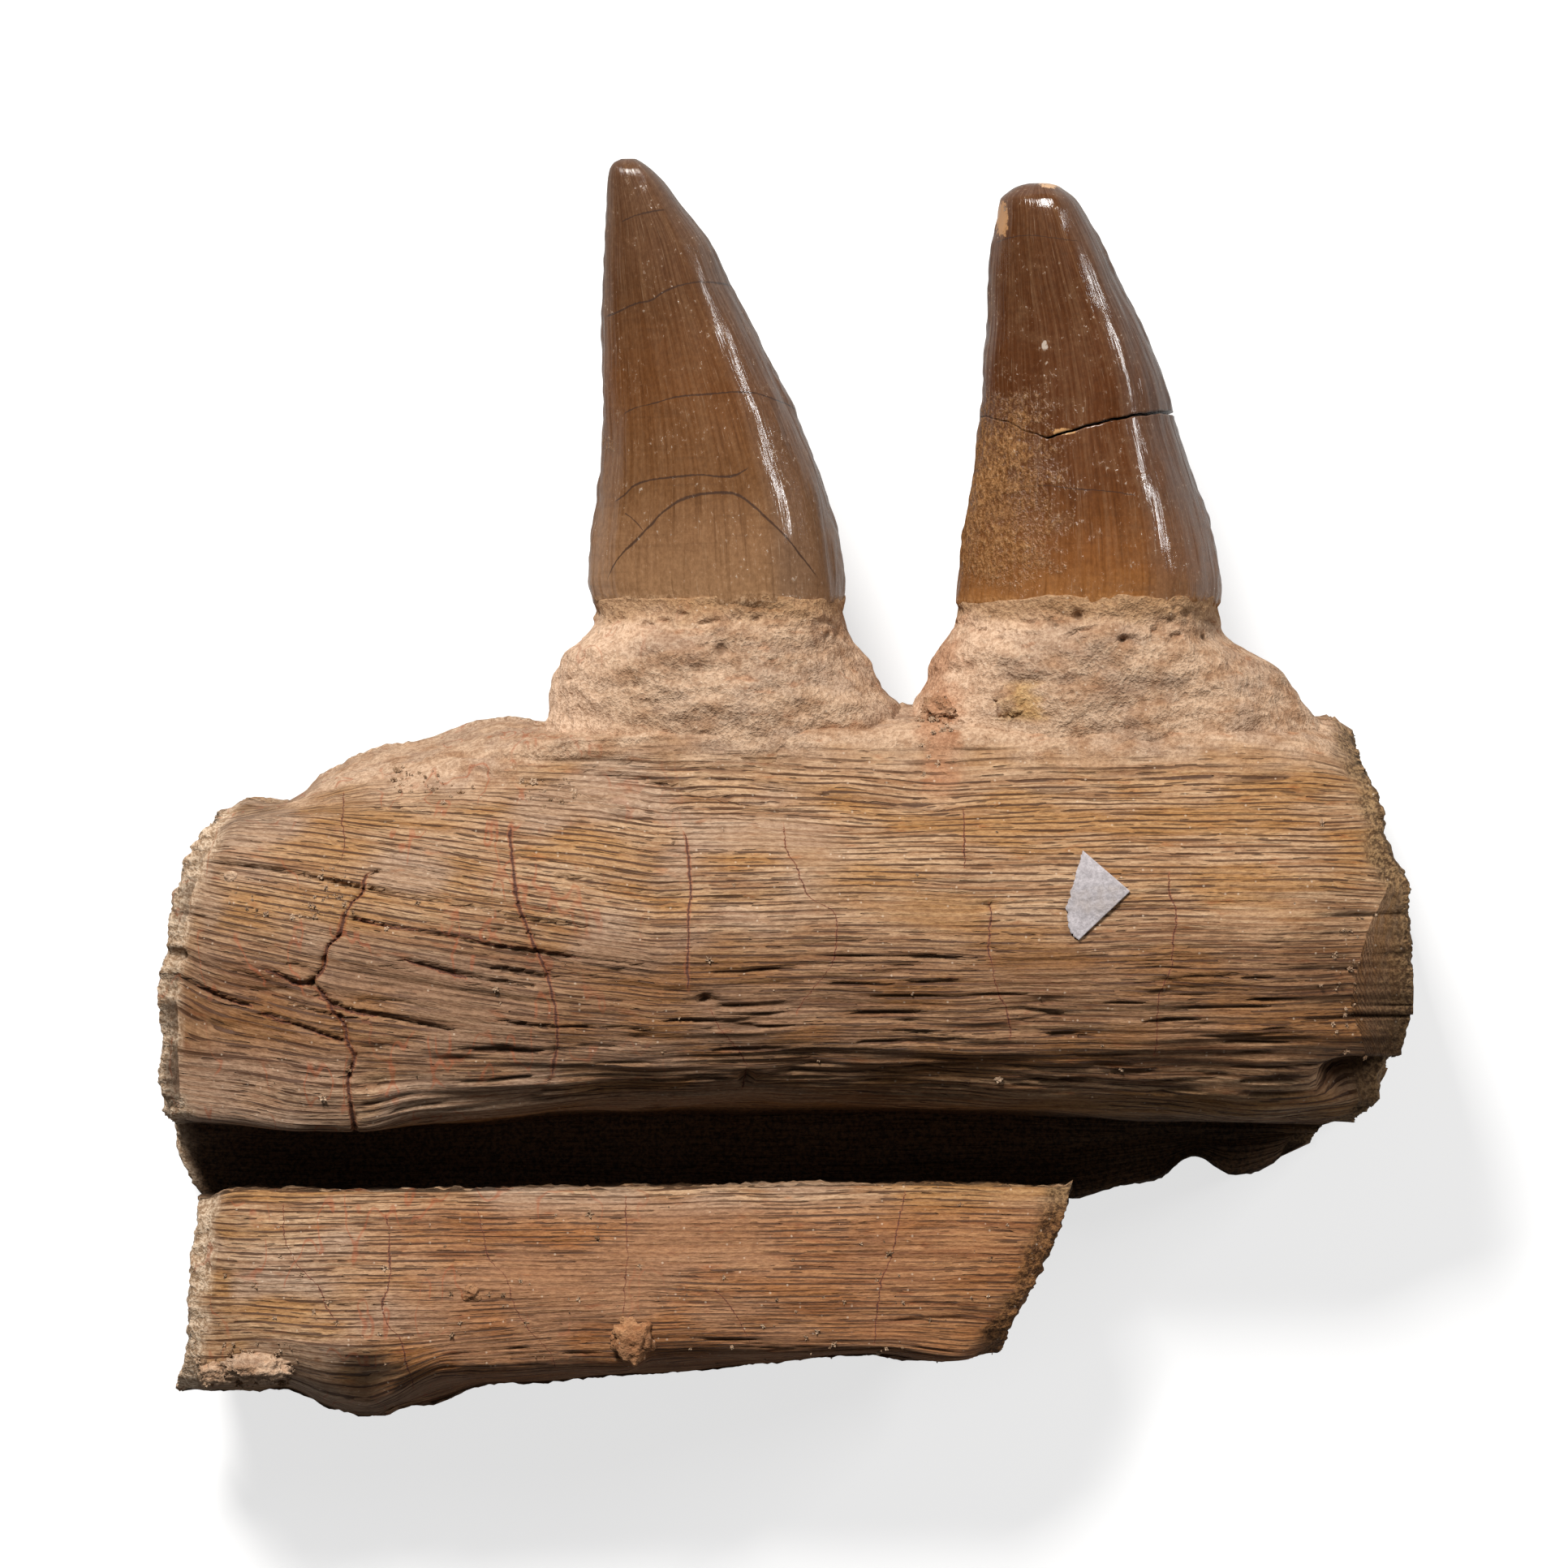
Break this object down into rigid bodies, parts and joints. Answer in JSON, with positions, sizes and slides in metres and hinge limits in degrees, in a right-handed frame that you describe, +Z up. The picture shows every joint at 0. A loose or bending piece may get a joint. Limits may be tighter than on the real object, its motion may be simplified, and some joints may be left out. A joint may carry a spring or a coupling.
{
  "type": "fossil mosasaur jaw section",
  "caption": "Broken length of fossil lower jaw lying on its outer side: a thick bar with an open canal and lower flange below, and conical crowns on spongy bony pedestals.",
  "frame": {"origin": "under the middle of the whole object, on the surface it rests on", "axes": "+X along the jaw, +Y towards the crown tips, +Z up, towards the inner side of the jaw, where the canal is open"},
  "size_m": [0.139, 0.14, 0.0426],
  "materials": {
    "fossil_bone": "matt, fibrous, cracked",
    "enamel": "satin, finely striated",
    "label_paper": "matt, torn, soiled"
  },
  "bodies": {
    "root": {"jaw_bone": "fossil_bone", "left_tooth": "enamel", "right_tooth_base": "enamel", "right_tooth_tip": "enamel", "label_scrap": "label_paper"}
  },
  "joints": []
}
